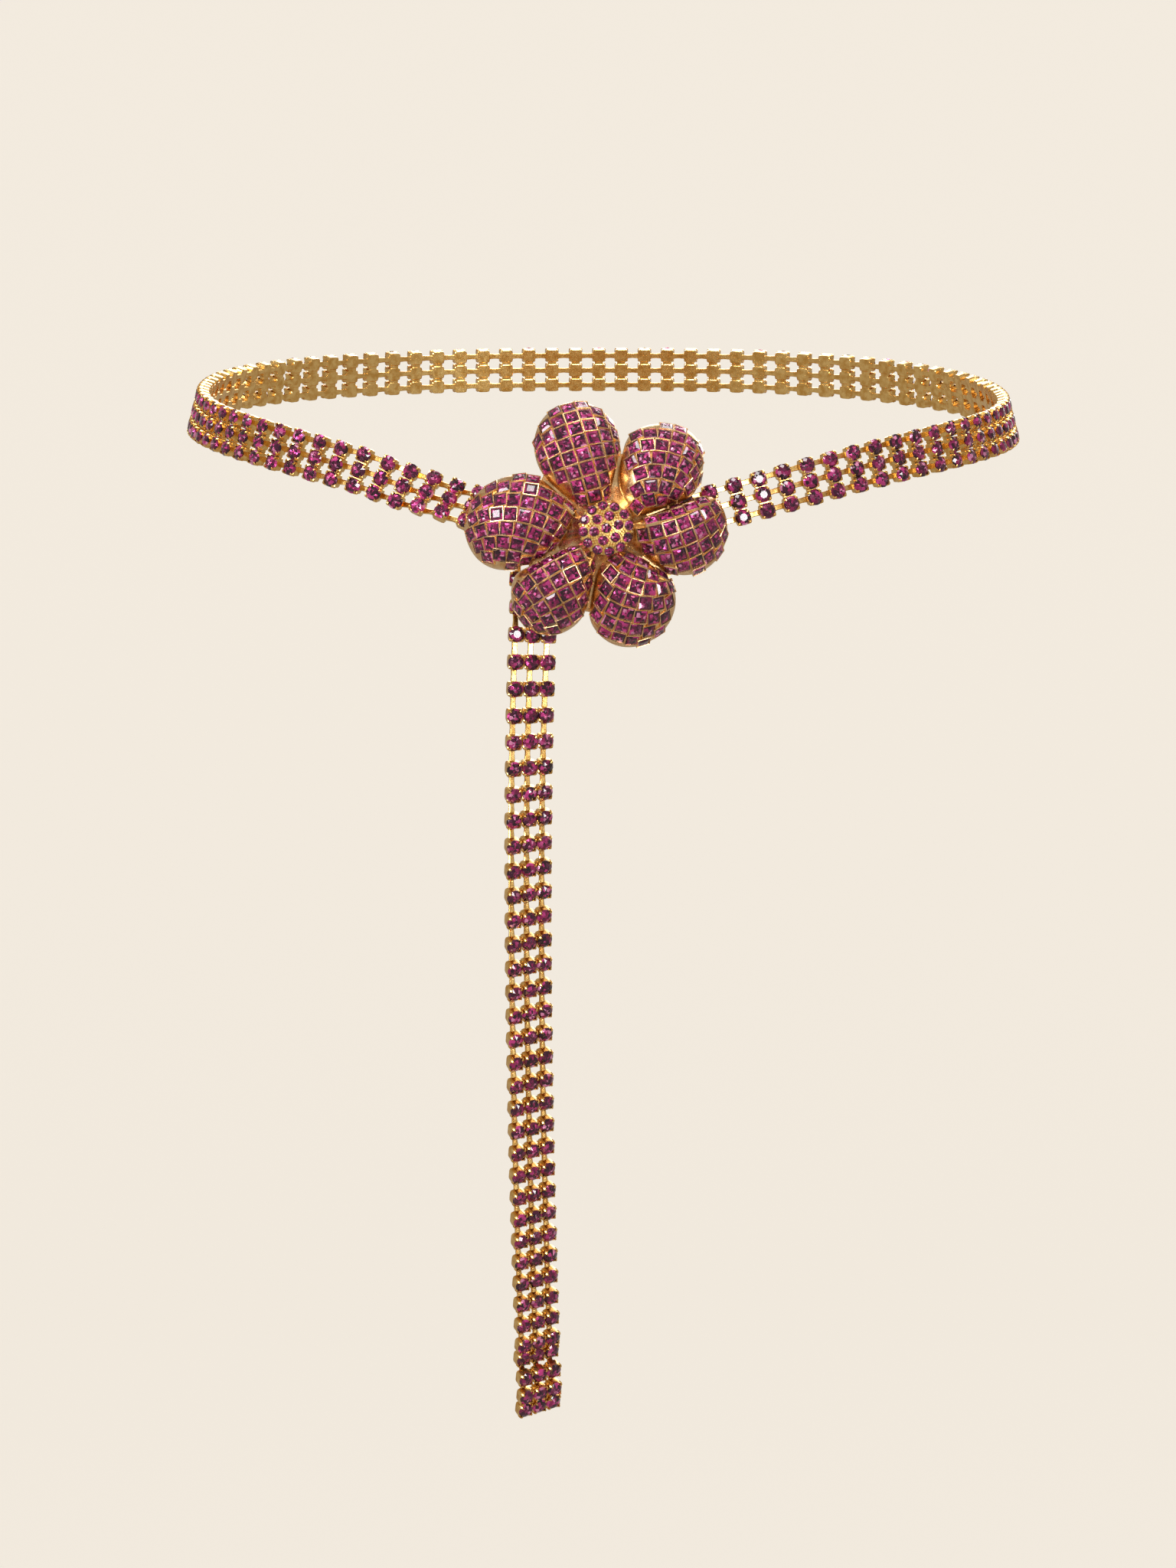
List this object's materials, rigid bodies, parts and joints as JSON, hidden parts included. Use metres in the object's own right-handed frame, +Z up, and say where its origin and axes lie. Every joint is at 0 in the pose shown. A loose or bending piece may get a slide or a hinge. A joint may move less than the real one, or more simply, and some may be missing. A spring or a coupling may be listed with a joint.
{
  "type": "rhinestone belt",
  "caption": "Worn hip belt: a chain of gold bars set with round purple stones, a domed flower buckle paved with square stones, and a free end that hangs from behind it.",
  "frame": {"origin": "middle of the hips, at the height of the belt's sides", "axes": "+Z up, the wearer faces -Y, +X to the wearer's left"},
  "size_m": [0.2824, 0.2679, 0.3356],
  "materials": {
    "chain": "bright gold plate",
    "gold": "warm gold plate",
    "pave": "faceted purple stones in gold cells"
  },
  "bodies": {
    "root": {"belt_stretch_01": "chain", "belt_stretch_02": "chain", "belt_stretch_03": "chain", "belt_stretch_04": "chain", "belt_stretch_05": "chain", "belt_stretch_06": "chain", "belt_stretch_07": "chain", "belt_stretch_08": "chain", "belt_stretch_09": "chain", "belt_stretch_10": "chain", "belt_stretch_11": "chain", "belt_stretch_12": "chain", "free_end_stretch_1": "chain", "free_end_stretch_2": "chain", "free_end_stretch_3": "chain", "free_end_stretch_4": "chain", "petal_1": "pave", "petal_2": "pave", "petal_3": "pave", "petal_4": "pave", "petal_5": "pave", "petal_6": "pave", "flower_disc": "pave", "flower_plate": "gold", "flower_stem": "gold", "buckle_carrier": "gold", "buckle_post": "gold"}
  },
  "joints": []
}
